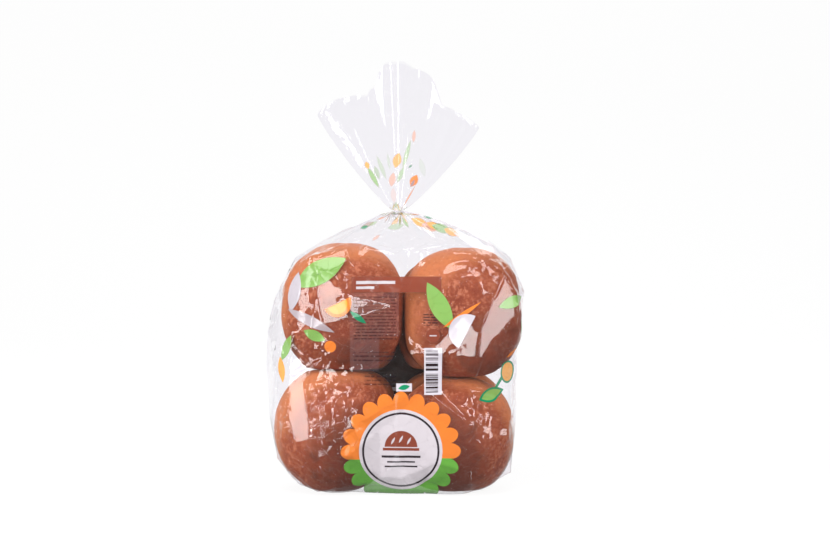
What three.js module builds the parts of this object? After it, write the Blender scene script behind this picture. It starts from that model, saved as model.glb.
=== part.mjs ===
// A clear film bag of eight round brown rolls, standing on its flat bottom.
//
// The rolls stand on edge in two layers of four, base to base, with their domes
// facing the front (-Y) and the back (+Y). The film is drawn tight over them,
// rises from the upper rolls to a gathered neck, and opens above it into a flat
// fan with a taller rounded lip on its back sheet. The bag and what fills it are
// one solid; a narrow band holds the neck. Millimetres, +Z up, base at Z = 0.

import * as THREE from "three";
import { mergeVertices } from "three/addons/utils/BufferGeometryUtils.js";

// ---- driving dimensions -----------------------------------------------------

const roll = { width: 100, thickness: 54 }; // one roll, across and front to back
const filmGap = 1.5; // film stands off the crust by this much
const centreHeight = 108; // height of the point that the film is measured from
const neck = { x: 4, height: 230.5, radius: 3.3, length: 3.6 };
const fan = { halfWidth: 66.5, halfDepth: 8, bulge: 7, rimHeight: 330, film: 1.2 };
const lip = { x: 10.5, halfWidth: 29.5, rise: 29 }; // taller part of the back sheet
const band = { wall: 0.6, gap: 0.3, height: 3, edge: 0.2 };

// The film where no roll carries it: a boxy body, squarer at its right than at
// its left, under a tent that falls from the neck.
const core = {
  left: { halfWidth: 105, above: 2.5, below: 3.2, tentSlope: 0.5 },
  right: { halfWidth: 102, above: 3, below: 4.5, tentSlope: 0.4 },
  halfDepth: 52,
  height: 126,
  drop: 110,
};
const tent = { top: 131, depthRatio: 1.9 };
const lean = { from: 100, to: 180 }; // heights between which it leans to its neck
const ear = { reach: 9, climb: -0.75, spread: 0.07 }; // lower right corner

// Rolls as seen from the front: centre, width and height against a plain roll.
const rolls = [
  { x: -43, z: 152, wide: 1.0, tall: 1.02, face: -1 },
  { x: 55, z: 150, wide: 1.0, tall: 1.03, face: -1 },
  { x: -49, z: 53, wide: 0.99, tall: 1.02, face: -1 },
  { x: 49, z: 49, wide: 0.97, tall: 0.97, face: -1 },
  { x: -46, z: 150, wide: 1.0, tall: 1.0, face: 1 },
  { x: 53, z: 153, wide: 0.99, tall: 1.01, face: 1 },
  { x: -51, z: 51, wide: 0.99, tall: 1.0, face: 1 },
  { x: 47, z: 52, wide: 0.99, tall: 1.01, face: 1 },
];

// ---- resolution -------------------------------------------------------------

const columns = 96; // round the bag
const bodyRows = 36; // from the bottom to the neck
const fanRows = 12; // outside of the fan
const hollowRows = 8; // inside of the fan
const crowding = 1.4; // rows of the fan crowd towards the neck by this power

// ---- the film round the rolls -----------------------------------------------

// Larger or smaller of two lengths, rounded where they are nearly the same.
function roundOff(a, b, blend) {
  const mix = Math.max(blend - Math.abs(a - b), 0) / blend;
  return (mix * mix * blend) / 4;
}
const softMax = (a, b, blend) => Math.max(a, b) + roundOff(a, b, blend);
const softMin = (a, b, blend) => Math.min(a, b) - roundOff(a, b, blend);

// Distance along a ray from the bag's centre to the far side of one roll.
function reachOfRoll(direction, r) {
  const half = [
    (roll.width / 2) * r.wide + filmGap,
    roll.thickness * 0.6,
    (roll.width / 2) * r.tall + filmGap,
  ];
  const centre = [
    r.x,
    r.face * (roll.thickness + filmGap - half[1]),
    r.z - centreHeight,
  ];
  let a = 0;
  let b = 0;
  let c = -1;
  for (let i = 0; i < 3; i++) {
    a += (direction[i] / half[i]) ** 2;
    b += (direction[i] * centre[i]) / half[i] ** 2;
    c += (centre[i] / half[i]) ** 2;
  }
  const inside = b * b - a * c;
  return inside > 0 ? (b + Math.sqrt(inside)) / a : 0;
}

// A value of the core between its left side and its right.
function between(key, around) {
  const toRight = (1 + Math.cos(around)) / 2;
  return core.left[key] + (core.right[key] - core.left[key]) * toRight;
}

// Distance along a ray to the film where no roll carries it.
function reachOfCore([dx, dy, dz], around) {
  const up = dz > 0;
  const power = between(up ? "above" : "below", around);
  const plan = 2.4; // how square the bag is, seen from above
  const across =
    ((Math.abs(dx) / between("halfWidth", around)) ** plan +
      (Math.abs(dy) / core.halfDepth) ** plan) **
    (power / plan);
  const along = (Math.abs(dz) / (up ? core.height : core.drop)) ** power;
  return (across + along) ** (-1 / power);
}

// Distance along a ray to the tent of film between the neck and the rolls.
function reachOfTent([dx, dy, dz], around) {
  const slope = between("tentSlope", around);
  const fall = dz + slope * Math.hypot(dx, tent.depthRatio * dy);
  return fall > 0 ? tent.top / fall : Infinity;
}

// Pleats that run out from the neck and fade before the middle of the rolls.
function pleat(around, climb) {
  const fade = Math.max(0, Math.sin(climb)) ** 3 * Math.cos(climb) ** 0.6;
  const wave =
    Math.sin(11 * around + 0.7) +
    0.7 * Math.sin(17 * around + 2.1) +
    0.4 * Math.sin(29 * around);
  return 1.9 * fade * wave;
}

// The lower right corner of the bag stands out past the roll in a flat ear.
function earReach(around, climb) {
  if (Math.cos(around) < 0) return 0;
  const nearSide = Math.exp(-((Math.sin(around) / 0.16) ** 2));
  return ear.reach * nearSide * Math.exp(-(((climb - ear.climb) / ear.spread) ** 2));
}

// A point of the film, from the angle round the bag and the climb above level.
function filmPoint(around, climb) {
  const direction = [
    Math.cos(around) * Math.cos(climb),
    Math.sin(around) * Math.cos(climb),
    Math.sin(climb),
  ];
  let reach = reachOfCore(direction, around);
  reach = softMin(reach, reachOfTent(direction, around), 8);
  for (const r of rolls) reach = softMax(reach, reachOfRoll(direction, r), 6);
  reach += pleat(around, climb);
  reach += earReach(around, climb);
  if (direction[2] < 0) reach = Math.min(reach, -centreHeight / direction[2]);
  const height = centreHeight + reach * direction[2];
  const shift = neck.x * THREE.MathUtils.smoothstep(height, lean.from, lean.to);
  return new THREE.Vector3(
    shift + reach * direction[0],
    reach * direction[1],
    height,
  );
}

// ---- the fan above the neck -------------------------------------------------

// Height of the fan's rim at a place along it, which falls towards both corners
// and rises into the lip on the back sheet.
function rimHeight(across, back) {
  const fall = across < 0 ? 14 * across ** 6 : 25 * across ** 2;
  let height = fan.rimHeight - fall;
  const x = neck.x + across * fan.halfWidth;
  const s = Math.abs(x - lip.x) / lip.halfWidth;
  if (back && s < 1) height += lip.rise * (1 - s ** 3.5) ** 0.7;
  return height;
}

// A point of the fan: `share` is 0 at the neck and 1 at the rim, and `inset` is
// the distance inside the film's outer face.
function fanPoint(around, share, inset) {
  const across = Math.cos(around);
  const depth = Math.sin(around);
  const start = neck.height + neck.length;
  const halfWidth =
    neck.radius +
    (fan.halfWidth - neck.radius) * share +
    fan.bulge * Math.sin(Math.PI * share) ** 0.4;
  const halfDepth = neck.radius + (fan.halfDepth - neck.radius) * share;
  const x = (halfWidth - 2 * inset) * across;
  const wave =
    2.6 * Math.sin(0.19 * x + 0.6) + 1.5 * Math.sin(0.41 * x + 2.2 * share);
  const lean = 4.5 * depth * share ** 2;
  return new THREE.Vector3(
    neck.x + x,
    (halfDepth - inset) * depth + lean + wave * share ** 1.3,
    start + (rimHeight(across, depth > 0) - start) * share,
  );
}

// ---- one closed skin from the bottom, over the rim and into the fan ---------

function ring(makePoint) {
  const points = [];
  for (let i = 0; i < columns; i++)
    points.push(makePoint((2 * Math.PI * i) / columns));
  return points;
}

function bagRings() {
  const rings = [];
  const neckClimb = Math.atan2(neck.height - centreHeight, neck.radius);
  const lowest = -Math.PI / 2;
  for (let row = 1; row < bodyRows; row++) {
    const climb = lowest + ((neckClimb - lowest) * row) / bodyRows;
    rings.push(ring((around) => filmPoint(around, climb)));
  }
  const neckRing = (height) =>
    ring(
      (around) =>
        new THREE.Vector3(
          neck.x + neck.radius * Math.cos(around),
          neck.radius * Math.sin(around),
          height,
        ),
    );
  rings.push(neckRing(neck.height));
  rings.push(neckRing(neck.height + neck.length));
  for (let row = 1; row <= fanRows; row++)
    rings.push(ring((around) => fanPoint(around, (row / fanRows) ** crowding, 0)));
  for (let row = hollowRows; row >= 2; row--) {
    const share = (row / hollowRows) ** crowding;
    rings.push(ring((around) => fanPoint(around, share, fan.film)));
  }
  return rings;
}

function skinOf(rings, firstTip, lastTip) {
  const positions = [];
  const triangle = (a, b, c) =>
    positions.push(...a.toArray(), ...b.toArray(), ...c.toArray());
  for (let i = 0; i < columns; i++) {
    const next = (i + 1) % columns;
    triangle(firstTip, rings[0][next], rings[0][i]);
    for (let row = 0; row + 1 < rings.length; row++) {
      const low = rings[row];
      const high = rings[row + 1];
      triangle(low[i], low[next], high[next]);
      triangle(low[i], high[next], high[i]);
    }
    const last = rings[rings.length - 1];
    triangle(last[i], last[next], lastTip);
  }
  const geometry = new THREE.BufferGeometry();
  geometry.setAttribute(
    "position",
    new THREE.Float32BufferAttribute(positions, 3),
  );
  const merged = mergeVertices(geometry, 1e-4);
  merged.computeVertexNormals();
  return merged;
}

function bagGeometry() {
  const bottom = new THREE.Vector3(0, 0, 0);
  const hollowFloor = fanPoint(0, (1 / hollowRows) ** crowding, 0);
  hollowFloor.x = neck.x;
  hollowFloor.y = 0;
  return skinOf(bagRings(), bottom, hollowFloor);
}

// ---- the band that holds the neck -------------------------------------------

function bandGeometry() {
  const inner = neck.radius + band.gap;
  const outer = inner + band.wall;
  const low = -band.height / 2;
  const high = band.height / 2;
  const outline = [
    [inner, low],
    [outer - band.edge, low],
    [outer, low + band.edge],
    [outer, high - band.edge],
    [outer - band.edge, high],
    [inner, high],
    [inner, low],
  ].map(([r, z]) => new THREE.Vector2(r, z));
  return new THREE.LatheGeometry(outline, 32).rotateX(Math.PI / 2);
}

// ---- the object -------------------------------------------------------------

function material(color, roughness) {
  return new THREE.MeshStandardMaterial({ color, roughness, metalness: 0 });
}

const bag = new THREE.Mesh(bagGeometry(), material(0xa0694f, 0.25));
bag.name = "bag";

const neckBand = new THREE.Mesh(bandGeometry(), material(0xe4e0ea, 0.3));
neckBand.name = "neck_band";
neckBand.position.set(neck.x, 0, neck.height + neck.length / 2);

const object = new THREE.Group();
object.name = "bag_of_rolls";
object.add(bag, neckBand);

// The origin is under the middle of the bag's outer box.
bag.geometry.computeBoundingBox();
const middle = bag.geometry.boundingBox.getCenter(new THREE.Vector3());
object.position.set(-middle.x, -middle.y, 0);

export default object;
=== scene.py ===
import math
import random

import bpy
import numpy as np
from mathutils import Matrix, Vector
from mathutils.bvhtree import BVHTree
from mathutils.geometry import delaunay_2d_cdt


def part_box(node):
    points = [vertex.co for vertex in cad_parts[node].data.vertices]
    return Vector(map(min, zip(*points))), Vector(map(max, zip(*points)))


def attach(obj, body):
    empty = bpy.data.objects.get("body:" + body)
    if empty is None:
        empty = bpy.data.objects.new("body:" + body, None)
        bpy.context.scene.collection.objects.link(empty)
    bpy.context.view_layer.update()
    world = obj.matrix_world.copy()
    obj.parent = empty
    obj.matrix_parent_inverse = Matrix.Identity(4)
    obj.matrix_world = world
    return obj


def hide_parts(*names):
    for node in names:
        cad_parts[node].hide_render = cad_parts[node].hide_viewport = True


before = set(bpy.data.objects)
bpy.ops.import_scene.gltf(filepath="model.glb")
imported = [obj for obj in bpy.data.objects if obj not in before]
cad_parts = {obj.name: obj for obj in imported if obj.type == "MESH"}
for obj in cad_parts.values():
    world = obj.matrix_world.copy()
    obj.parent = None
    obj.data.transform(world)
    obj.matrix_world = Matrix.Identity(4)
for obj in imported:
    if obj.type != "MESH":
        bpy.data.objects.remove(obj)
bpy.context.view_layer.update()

mm = 0.001


# nodes: an expression on wires adds its Math nodes


def operator(operation, swapped=False):
    def apply(self, other):
        first, second = (other, self) if swapped else (self, other)
        return self.graph.maths(operation, first, second)

    return apply


class Wire:
    def __init__(self, graph, socket):
        self.graph = graph
        self.socket = socket

    def __abs__(self):
        return self.graph.maths("ABSOLUTE", self)

    __add__, __radd__ = operator("ADD"), operator("ADD", True)
    __sub__, __rsub__ = operator("SUBTRACT"), operator("SUBTRACT", True)
    __mul__, __rmul__ = operator("MULTIPLY"), operator("MULTIPLY", True)
    __truediv__, __rtruediv__ = operator("DIVIDE"), operator("DIVIDE", True)
    __pow__, __rpow__ = operator("POWER"), operator("POWER", True)


class Graph:
    def __init__(self, tree):
        self.tree = tree

    def node(self, kind, settings=None, inputs=None, output=0):
        made = self.tree.nodes.new(kind)
        for name, value in (settings or {}).items():
            setattr(made, name, value)
        for key, value in (inputs or {}).items():
            if isinstance(value, Wire):
                self.tree.links.new(value.socket, made.inputs[key])
            else:
                made.inputs[key].default_value = value
        return Wire(self, made.outputs[output]) if len(made.outputs) else None

    def maths(self, operation, *values, clamp=False):
        settings = {"operation": operation, "use_clamp": clamp}
        return self.node("ShaderNodeMath", settings, dict(enumerate(values)))

    def vectors(self, operation, *values, output=0):
        return self.node("ShaderNodeVectorMath", {"operation": operation}, dict(enumerate(values)), output)

    def above(self, value, limit):  # 1 where a value is above its limit, or 0
        return self.maths("GREATER_THAN", value, limit)

    def length(self, across, up):
        return self.maths("SQRT", across * across + up * up)

    def mixColour(self, share, first, second):
        return self.node("ShaderNodeMix", {"data_type": "RGBA"}, {0: share, 6: first, 7: second}, 2)

    def mixNumber(self, share, first, second):
        return self.node("ShaderNodeMix", {"data_type": "FLOAT"}, {0: share, 2: first, 3: second})

    def parts(self, vector):
        split = self.node("ShaderNodeSeparateXYZ", inputs={0: vector}).socket.node
        return [Wire(self, output) for output in split.outputs]

    def join(self, x, y, z):
        return self.node("ShaderNodeCombineXYZ", inputs={0: x, 1: y, 2: z})

    def mixShader(self, share, first, second):
        return self.node("ShaderNodeMixShader", inputs={0: share, 1: first, 2: second})

    def rise(self, value, low, high):
        settings = {"interpolation_type": "SMOOTHSTEP"}
        return self.node("ShaderNodeMapRange", settings, {0: value, 1: low, 2: high})

    def noise(self, place, scale, detail=2.0, roughness=0.5, distortion=0.0):
        inputs = {"Vector": place, "Scale": scale, "Detail": detail}
        inputs.update({"Roughness": roughness, "Distortion": distortion})
        return self.node("ShaderNodeTexNoise", inputs=inputs)

    def bump(self, height, strength, distance):
        inputs = {"Strength": strength, "Distance": distance, "Height": height}
        return self.node("ShaderNodeBump", inputs=inputs)

    def attribute(self, name, output="Vector"):
        return self.node("ShaderNodeAttribute", {"attribute_name": name}, output=output)

    def store(self, geometry, name, value):
        settings = {"data_type": "FLOAT_VECTOR", "domain": "POINT"}
        inputs = {"Geometry": geometry, "Name": name, "Value": value}
        return self.node("GeometryNodeStoreNamedAttribute", settings, inputs)


def newMaterial(name):
    made = bpy.data.materials.new(name)
    made.use_nodes = True
    made.node_tree.nodes.clear()
    return made, Graph(made.node_tree)


def closeMaterial(graph, surface):
    graph.node("ShaderNodeOutputMaterial", inputs={"Surface": surface})


def ink(red, green, blue):  # a colour of 0 to 255 a channel, as light
    linear = [((c / 255 + 0.055) / 1.055) ** 2.4 if c > 10 else c / 3300 for c in (red, green, blue)]
    return (*linear, 1.0)


def addObject(name, data):
    made = bpy.data.objects.new(name, data)
    bpy.context.scene.collection.objects.link(made)
    return made


def meshObject(name, points, faces, material):
    mesh = bpy.data.meshes.new(name)
    mesh.from_pydata((np.asarray(points) * mm).tolist(), [], faces)
    mesh.polygons.foreach_set("use_smooth", [True] * len(mesh.polygons))
    mesh.materials.append(material)
    return addObject(name, mesh)


# rolls: one tree of nodes shapes each bun from a sphere

crust = {
    "brown": ink(162, 80, 48),
    "deep": ink(130, 54, 28),
    "freckle": ink(204, 128, 94),
    "pale": ink(204, 122, 76),
    # painted shade: a dark brown laid on each roll's flat base and on its lower side
    "heelShade": ink(88, 34, 18),
    "grain": 0.0009,  # height of the crust's fine wrinkles, in metres
    "roughness": 0.5,
}


def crustMaterial():
    made, graph = newMaterial("rollCrust")
    place = graph.attribute("crustPlace")
    share, bakedAndShaded, _ = graph.parts(graph.attribute("crustBakeAndShade"))
    cloud = graph.noise(place, 0.03, 4.0, 0.6, 0.5)
    mottle = graph.noise(place, 0.11, 6.0, 0.68, 0.6)
    speck = graph.noise(place, 0.34, 4.0, 0.72, 0.0)
    patches = graph.rise(cloud * 0.5 + mottle * 0.5, 0.36, 0.66)
    brown = graph.mixColour(patches, crust["deep"], crust["brown"])
    freckled = graph.rise(mottle * 0.35 + speck * 0.65, 0.48, 0.62) * 0.7
    brown = graph.mixColour(freckled, brown, crust["freckle"])
    # how browned the crust is: paler at the sides and browner on the dome as baked, plus painted shade that
    # is darker downward and on the lower and back rolls
    edge = bakedAndShaded + (cloud - 0.5) * 0.7 + (mottle - 0.5) * 0.8 + (speck - 0.5) * 0.35
    colour = graph.mixColour(graph.rise(edge, -0.05, 0.5), crust["pale"], brown)
    colour = graph.mixColour(graph.rise(0.5 - speck, 0.0, 0.16) * 0.3, colour, crust["deep"])
    # the most browned crust darkens toward the dark base brown: on the dome's front as baked, on the lower
    # side as painted shade
    colour = graph.mixColour(graph.rise(edge, 0.7, 1.15) * 0.9, colour, crust["heelShade"])
    # painted shade: the flat base, which faces the other layer of rolls, dark brown
    colour = graph.mixColour(graph.rise(share, 0.02, 0.14), crust["heelShade"], colour)
    wrinkle = graph.noise(place, 0.32, 6.0, 0.66, 0.5)
    pore = graph.noise(place, 1.1, 2.0, 0.5)
    bump = graph.bump(wrinkle + pore * 0.35, 0.8, crust["grain"])
    inputs = {"Base Color": colour, "Roughness": crust["roughness"] + (mottle - 0.5) * 0.3, "Normal": bump}
    inputs.update({"Subsurface Weight": 0.08, "Subsurface Scale": 0.004, "Specular IOR Level": 0.2})
    closeMaterial(graph, graph.node("ShaderNodeBsdfPrincipled", inputs=inputs))
    return made


bun = {
    "segments": 128,
    "rings": 80,
    "equator": 0.34,  # height of the widest ring, against the thickness
    "domePower": 0.74,  # below 1 makes the top flatter and its edge fuller
    "heelPower": 0.42,
    "waves": 3.2,  # broad unevenness
    "dimples": 0.9,
    "bend": 5.0,  # how far round a pressed side bends
}


def bunTree(material):
    tree = bpy.data.node_groups.new("bunShape", "GeometryNodeTree")
    numbers = (
        "Width", "Height", "Thickness", "Squareness", "Left", "Right", "Low", "High", "Seed", "PaintedShade",
    )
    for name in numbers:
        tree.interface.new_socket(name=name, in_out="INPUT", socket_type="NodeSocketFloat")
    vectors = ("Lean", "Bake", "Turn", "Place")
    for name in vectors:
        tree.interface.new_socket(name=name, in_out="INPUT", socket_type="NodeSocketVector")
    tree.interface.new_socket(name="Geometry", in_out="OUTPUT", socket_type="NodeSocketGeometry")
    graph = Graph(tree)
    given = tree.nodes.new("NodeGroupInput").outputs
    wire = {name: Wire(graph, given[name]) for name in (*numbers, *vectors)}

    ball = graph.node("GeometryNodeMeshUVSphere", inputs={0: bun["segments"], 1: bun["rings"], 2: 1.0})
    across, up, out = graph.parts(graph.node("GeometryNodeInputPosition"))
    radius = graph.maths("MAXIMUM", graph.length(across, up), 0.001)
    onDome = graph.above(out, 0.0)
    power = graph.mixNumber(onDome, bun["heelPower"], bun["domePower"])
    corner = abs(across / radius) ** wire["Squareness"] + abs(up / radius) ** wire["Squareness"]
    spread = radius ** (power - 1.0) / corner ** (1.0 / wire["Squareness"])
    domeHeight = bun["equator"] + (1 - bun["equator"]) * graph.maths("MAXIMUM", out, 0.0) ** 0.92
    heelHeight = bun["equator"] * (1.0 - graph.maths("MAXIMUM", 0.0 - out, 0.0) ** 0.72)
    share = graph.mixNumber(onDome, heelHeight, domeHeight)
    depth = share * wire["Thickness"]

    leanX, leanY, leanZ = graph.parts(wire["Lean"])
    x = across * spread * wire["Width"] * 0.5 + leanX * (share - 0.4)
    z = up * spread * wire["Height"] * 0.5 + leanZ * (share - 0.4)
    place = graph.join(x, depth, z)
    seeded = graph.vectors("ADD", place, graph.join(wire["Seed"] * 91.0, 0.0, wire["Seed"] * 37.0))
    broad = graph.noise(seeded, 0.022, 1.0) - 0.5
    close = graph.noise(seeded, 0.075, 3.0, 0.6) - 0.5
    swell = (broad * (2 * bun["waves"]) + close * (2 * bun["dimples"])) * graph.rise(share, 0.0, 0.3)
    x = x + across * swell
    z = z + up * swell
    depth = depth + graph.maths("MAXIMUM", out, 0.0) * swell
    x = graph.maths("SMOOTH_MIN", x, wire["Right"], bun["bend"])
    x = graph.maths("SMOOTH_MAX", x, 0.0 - wire["Left"], bun["bend"])
    z = graph.maths("SMOOTH_MIN", z, wire["High"], bun["bend"])
    z = graph.maths("SMOOTH_MAX", z, 0.0 - wire["Low"], bun["bend"])

    # how browned each point is, plus painted shade: darker downward, and darker overall on the lower and
    # back rolls
    facing = graph.join(across, out, up)
    bakedAndShaded = graph.vectors("DOT_PRODUCT", facing, wire["Bake"], output=1) + wire["PaintedShade"]
    shaped = graph.store(ball, "crustPlace", seeded)
    shaped = graph.store(shaped, "crustBakeAndShade", graph.join(share, bakedAndShaded, 0.0))
    inputs = {"Vector": graph.join(x, 0.0 - depth, z), "Rotation": wire["Turn"]}
    turned = graph.node("ShaderNodeVectorRotate", {"rotation_type": "EULER_XYZ"}, inputs)
    moved = graph.vectors("ADD", turned, wire["Place"])
    placed = graph.node("ShaderNodeVectorMath", {"operation": "SCALE"}, {0: moved, "Scale": mm})
    shaped = graph.node("GeometryNodeSetPosition", inputs={"Geometry": shaped, "Position": placed})
    shaped = graph.node("GeometryNodeSetShadeSmooth", inputs={0: shaped})
    shaped = graph.node("GeometryNodeRealizeInstances", inputs={0: shaped})
    shaped = graph.node("GeometryNodeSetMaterial", inputs={"Geometry": shaped, "Material": material})
    graph.node("NodeGroupOutput", inputs={0: shaped})
    return tree


bagLow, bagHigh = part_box("bag")
bagMiddle = (bagLow + bagHigh) / 2 / mm
rolls = {
    "thickness": 52.5,
    "apart": 0.8,  # each layer's base from the bag's middle plane
}
# Seen from the front, in millimetres from the bag's middle and from the floor: x, z, width, height,
# squareness, how far its left, right, lower and upper side reach from its centre before they are
# pressed flat (99 leaves one free), its lean, how its crust browns (paler at the sides, with painted
# shade that darkens it downward), and how much painted shade darkens the whole roll.
rolls["places"] = [
    ("front_upper_left", -43.2, 153, 101, 106, 2.3, (99, 49.6, 50.6, 99), (1, -7), (0.2, 0.9, -0.45), 0),
    ("front_upper_right", 55, 149, 98, 109, 2.35, (48.2, 99, 51.6, 99), (8, -6), (0.45, 0.85, -0.42), 0),
    ("front_lower_left", -49.4, 53, 100, 104, 2.3, (99, 49.8, 51.8, 49.4), (9, 1), (0.4, 0.8, -0.6), 0.15),
    ("front_lower_right", 49.4, 48.4, 97, 97, 2.3, (48.4, 99, 47.2, 48.8), (-5, 4), (-0.3, 0.9, -0.5), 0.15),
    ("back_upper_left", -43.5, 144, 98, 104, 2.6, (99, 43.3, 44.4, 52), (-3, -4), (0.1, 0.6, -0.4), 0.25),
    ("back_upper_right", 49, 143, 99, 104, 2.6, (48.8, 99, 43, 52), (4, -4), (-0.2, 0.6, -0.4), 0.25),
    ("back_lower_left", -47.5, 50.5, 99, 102, 2.6, (99, 46.9, 49.3, 48.3), (3, 2), (0.2, 0.6, -0.4), 0.25),
    ("back_lower_right", 46, 50, 98, 101, 2.6, (45.7, 99, 48.8, 49.2), (-4, 3), (-0.1, 0.6, -0.4), 0.25),
]


def makeRoll(tree, entry, seed):
    corner, x, z, wide, tall, square, (left, right, low, high), lean, shadedBake, paintedShadeLevel = entry
    name = "roll_" + corner
    back = corner.startswith("back")
    if back:  # it is turned round, so its own left is the bag's right
        left, right = right, left
    toFront = -1 if back else 1
    # the crust's browning carries painted shade on the lower side, and the lower and back rolls get more
    # painted shade
    values = {
        "Width": wide, "Height": tall, "Thickness": rolls["thickness"], "Squareness": square,
        "Left": left, "Right": right, "Low": low, "High": high, "Seed": seed, "PaintedShade": paintedShadeLevel,
        "Lean": (toFront * lean[0], 0, lean[1]), "Bake": shadedBake, "Turn": (0, 0, math.pi if back else 0),
        "Place": (bagMiddle.x + x, bagMiddle.y - toFront * rolls["apart"], z),
    }
    carrier = addObject(name + "_source", bpy.data.meshes.new("empty"))
    modifier = carrier.modifiers.new("bunShape", "NODES")
    modifier.node_group = tree
    sockets = {s.name: s.identifier for s in tree.interface.items_tree if s.in_out == "INPUT"}
    for key, value in values.items():
        modifier[sockets[key]] = tuple(map(float, value)) if isinstance(value, tuple) else float(value)
    bpy.context.view_layer.update()
    shaped = carrier.evaluated_get(bpy.context.evaluated_depsgraph_get())
    made = addObject(name, bpy.data.meshes.new_from_object(shaped))
    bpy.data.objects.remove(carrier)
    return made


crustLook = crustMaterial()
bunShape = bunTree(crustLook)
rollPieces = [makeRoll(bunShape, entry, seed) for seed, entry in enumerate(rolls["places"], 3)]
for piece in rollPieces:
    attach(piece, "root")
    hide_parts("bag")
print("rolls:", len(rollPieces), "of", len(rollPieces[0].data.polygons), "faces")


# film: the bag's skin, with the same formula as its solid, made finer

neckLow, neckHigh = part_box("neck_band")
neckPlace = (neckLow + neckHigh) / 2 / mm
film = {
    "columns": 340, "bodyRows": 236, "fanRows": 44,
    "centreHeight": 108, "rollWidth": 100, "rollThickness": 54, "gap": 1.5,
    "neckX": 4, "neckHeight": 230.5, "neckRadius": 3.3, "neckLength": 3.6,
    "clearance": 0.5,  # least air between film and crust
}
core = {
    "left": {"halfWidth": 105, "above": 2.5, "below": 3.2, "tentSlope": 0.5},
    "right": {"halfWidth": 102, "above": 3, "below": 4.5, "tentSlope": 0.4},
    "halfDepth": 52, "height": 126, "drop": 110, "plan": 2.4,
}
tent = {"top": 131, "depthRatio": 1.9}
leaning = {"from": 100, "to": 180}
ear = {"reach": 9, "climb": -0.75, "spread": 0.07}
# The solid's rolls: x, z, width and height against a plain roll, and -1 in front or 1 behind.
solidRolls = [
    (-43, 152, 1, 1.02, -1), (55, 150, 1, 1.03, -1), (-49, 53, 0.99, 1.02, -1), (49, 49, 0.97, 0.97, -1),
    (-46, 150, 1, 1, 1), (53, 153, 0.99, 1.01, 1), (-51, 51, 0.99, 1, 1), (47, 52, 0.99, 1.01, 1),
]
fan = {"halfWidth": 66.5, "halfDepth": 8, "bulge": 7, "rimHeight": 330}
origin = np.array([neckPlace.x - film["neckX"], neckPlace.y, 0.0])


def roundOff(a, b, blend):
    mix = np.maximum(blend - np.abs(a - b), 0) / blend
    return mix * mix * blend / 4


def softMax(a, b, blend):
    return np.maximum(a, b) + roundOff(a, b, blend)


def softMin(a, b, blend):
    return np.minimum(a, b) - roundOff(a, b, blend)


def smooth(value, low, high):
    t = np.clip((value - low) / (high - low), 0, 1)
    return t * t * (3 - 2 * t)


def between(key, around):
    toRight = (1 + np.cos(around)) / 2
    return core["left"][key] + (core["right"][key] - core["left"][key]) * toRight


def directionOf(around, climb):
    return np.cos(around) * np.cos(climb), np.sin(around) * np.cos(climb), np.sin(climb) + 0 * around


def reachOfFilm(around, climb):
    dx, dy, dz = directionOf(around, climb)
    power = np.where(dz > 0, between("above", around), between("below", around))
    plan = core["plan"]
    across = (
        (np.abs(dx) / between("halfWidth", around)) ** plan + (np.abs(dy) / core["halfDepth"]) ** plan
    ) ** (power / plan)
    along = (np.abs(dz) / np.where(dz > 0, core["height"], core["drop"])) ** power
    reach = (across + along) ** (-1 / power)
    fall = dz + between("tentSlope", around) * np.hypot(dx, tent["depthRatio"] * dy)
    underTent = np.where(fall > 1e-6, tent["top"] / np.maximum(fall, 1e-6), 1e6)
    reach = softMin(reach, underTent, 8)
    for x, z, wide, tall, face in solidRolls:
        reach = softMax(reach, reachOfRoll((dx, dy, dz), x, z, wide, tall, face), 6)
    fade = np.maximum(0, np.sin(climb)) ** 3 * np.cos(climb) ** 0.6
    wave = np.sin(11 * around + 0.7) + 0.7 * np.sin(17 * around + 2.1) + 0.4 * np.sin(29 * around)
    reach = reach + 1.9 * fade * wave
    nearSide = np.where(np.cos(around) > 0, np.exp(-((np.sin(around) / 0.16) ** 2)), 0)
    return reach + ear["reach"] * nearSide * np.exp(-(((climb - ear["climb"]) / ear["spread"]) ** 2))


def reachOfRoll(direction, x, z, wide, tall, face):
    half = [
        film["rollWidth"] / 2 * wide + film["gap"],
        film["rollThickness"] * 0.6,
        film["rollWidth"] / 2 * tall + film["gap"],
    ]
    centre = [x, face * (film["rollThickness"] + film["gap"] - half[1]), z - film["centreHeight"]]
    a = sum((d / h) ** 2 for d, h in zip(direction, half))
    b = sum(d * c / h**2 for d, c, h in zip(direction, centre, half))
    c = sum((c / h) ** 2 for c, h in zip(centre, half)) - 1
    inside = b * b - a * c
    return np.where(inside > 0, (b + np.sqrt(np.maximum(inside, 0))) / a, 0)


def filmPoints(around, climb, reach):
    dx, dy, dz = directionOf(around, climb)
    reach = np.where(dz < 0, np.minimum(reach, -film["centreHeight"] / np.minimum(dz, -1e-6)), reach)
    height = film["centreHeight"] + reach * dz
    shift = film["neckX"] * smooth(height, leaning["from"], leaning["to"])
    return np.stack([shift + reach * dx, reach * dy, height], -1)


# relief: flat facets span between anchors that stand off the rolls, as stiff film does,
# and smaller facets crumple them

# Anchors that are seen in front: x and z in millimetres, then how far each stands off.
anchors = {
    "crownLeft": (51, 199, 2), "crownRight": (69, 196, 3.5), "crownEnd": (84, 187, 4),
    "leftWaist": (-80, 132, 3), "tip": (-34, 128, 2), "hangTop": (-92, 93, 4), "hangEnd": (-92, 34, 4),
    "seamTop": (-65, 38, 3), "seamEnd": (-60, 8, 4), "fold": (-38, 88, 3.5),
    "streakLow": (61, 89, 3.5), "streakLowEnd": (66, 58, 2.5), "edgeTop": (91, 76, 4),
    "edgeEnd": (90, 52, 3.5), "lowLeft": (51, 27, 2.5), "lowRight": (62, 17, 3), "lowEnd": (53, 4, 4),
    "earHigh": (104, 106, 0.5), "earMiddle": (101, 60, 1), "earTip": (98, 15, 1),
}
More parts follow.
